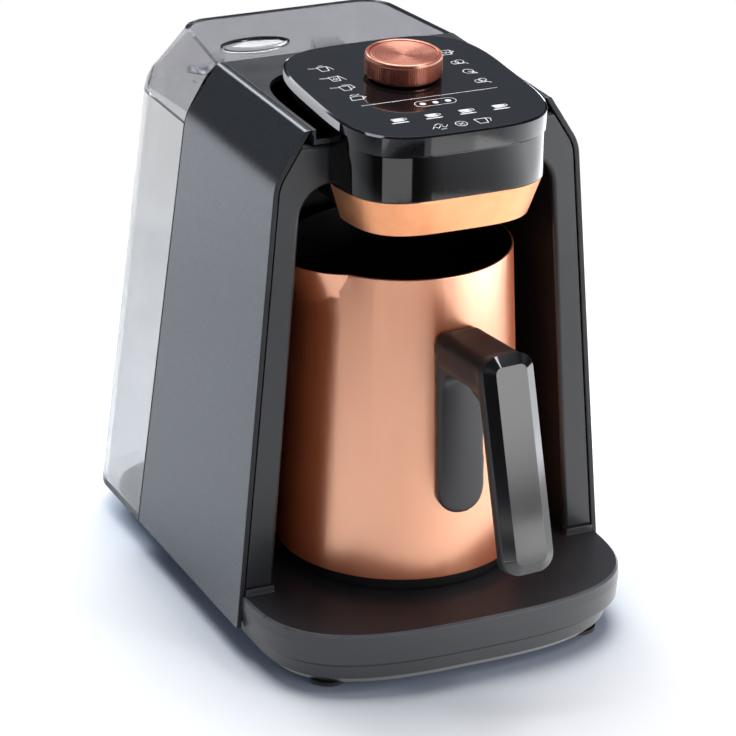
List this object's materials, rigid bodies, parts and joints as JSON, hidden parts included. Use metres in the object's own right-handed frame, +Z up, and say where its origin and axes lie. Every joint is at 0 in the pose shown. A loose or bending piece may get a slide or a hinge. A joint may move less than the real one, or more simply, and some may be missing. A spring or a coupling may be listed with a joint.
{
  "type": "electric turkish coffee maker",
  "caption": "Electric turkish coffee maker with a lift-off copper-coloured pot under a control head, a turning dial and a lift-off water tank with a hinged lid.",
  "frame": {"origin": "centre of the footprint, on the table under the rubber feet, with the handle counted in", "axes": "+Z up, the pot and the control panel face -Y, the water tank is towards +Y, +X is the user's right"},
  "size_m": [0.183, 0.286, 0.2664],
  "materials": {
    "anthracite_lacquer": "satin metallic lacquer",
    "fascia_plastic": "fine satin",
    "black_plastic": "fine matt",
    "tray_plastic": "fine texture, silky rim",
    "cover_plastic": "satin",
    "panel_gloss": "hard-coated gloss",
    "head_gloss": "polished",
    "copper_trim": "copper-coloured plating, satin",
    "knob_copper": "radially brushed copper-coloured plating",
    "pot_copper": "copper-plated steel, brushed outside",
    "handle_plastic": "fine matt",
    "handle_gloss": "polished",
    "rubber": "matt",
    "steel": "bright",
    "zinc": "bright zinc",
    "tank_clear": "clear smoke-tinted plastic, light texture",
    "lid_clear": "clear grey-tinted plastic",
    "white_plastic": "fine matt",
    "valve_orange": "fine matt",
    "filter_mesh": "fine woven",
    "silicone": "translucent",
    "circuit_board": "solder resist",
    "board_parts": "moulded cases and sleeves",
    "pump_blue": "fine matt",
    "motor_steel": "drawn",
    "sensor_lens": "polished",
    "ceramic": "pressed disc with sheathed element"
  },
  "bodies": {
    "housing": {"base_pan": "black_plastic", "rubber_feet": "rubber", "base_tray": "tray_plastic", "base_screws": "zinc", "side_panel_left": "anthracite_lacquer", "side_panel_right": "anthracite_lacquer", "front_fascia": "fascia_plastic", "bay_liner": "black_plastic", "rear_chassis": "cover_plastic", "top_cover": "cover_plastic", "panel_frame": "black_plastic", "control_panel": "panel_gloss", "head_housing": "head_gloss", "head_trim": "copper_trim", "head_underside": "black_plastic", "water_nozzle": "steel", "sensor_housing": "black_plastic", "sensor_lens": "sensor_lens", "touch_board": "circuit_board", "touch_springs": "steel", "encoder_body": "zinc", "power_board": "circuit_board", "board_parts": "board_parts", "pump_motor": "motor_steel", "pump_head": "pump_blue", "pump_mount": "rubber", "inlet_socket": "black_plastic", "inlet_seal": "rubber", "inlet_hose": "silicone", "outlet_hose": "silicone", "pot_connector": "black_plastic", "cord_gland": "rubber"},
    "dial": {"knob": "knob_copper", "encoder_shaft": "zinc"},
    "tank": {"water_tank": "tank_clear", "valve_body": "white_plastic", "filter_basket": "filter_mesh", "hinge_pins": "steel"},
    "valve": {"valve_plunger": "valve_orange", "valve_spring": "steel"},
    "lid": {"tank_lid": "lid_clear", "lid_latch": "lid_clear"},
    "pot": {"pot_body": "pot_copper", "pot_base": "black_plastic", "pot_contact": "black_plastic", "pot_heater": "ceramic", "handle_bracket": "zinc", "handle_body": "handle_plastic", "handle_shell": "handle_gloss"}
  },
  "joints": [
    {"name": "knob_spin", "type": "hinge", "parent": "housing", "child": "dial", "pos_m": [0, -0.02281, 0.2545], "axis": [0, -0.0541, 0.9985], "continuous": true},
    {"name": "tank_lift", "type": "slide", "parent": "housing", "child": "tank", "axis": [0, 0, 1], "range_m": [0, 0.1]},
    {"name": "lid_hinge", "type": "hinge", "parent": "tank", "child": "lid", "pos_m": [0, 0.12929, 0.2182], "axis": [-1, 0, 0], "range_deg": [0, 100]},
    {"name": "valve_travel", "type": "slide", "parent": "tank", "child": "valve", "axis": [0, 0, 1], "range_m": [0, 0.002], "stiffness_N_per_m": 120, "springref_m": -0.002, "deforming": ["valve_spring"]},
    {"name": "pot_lift", "type": "slide", "parent": "housing", "child": "pot", "axis": [0, 0, 1], "range_m": [0, 0.018]}
  ]
}
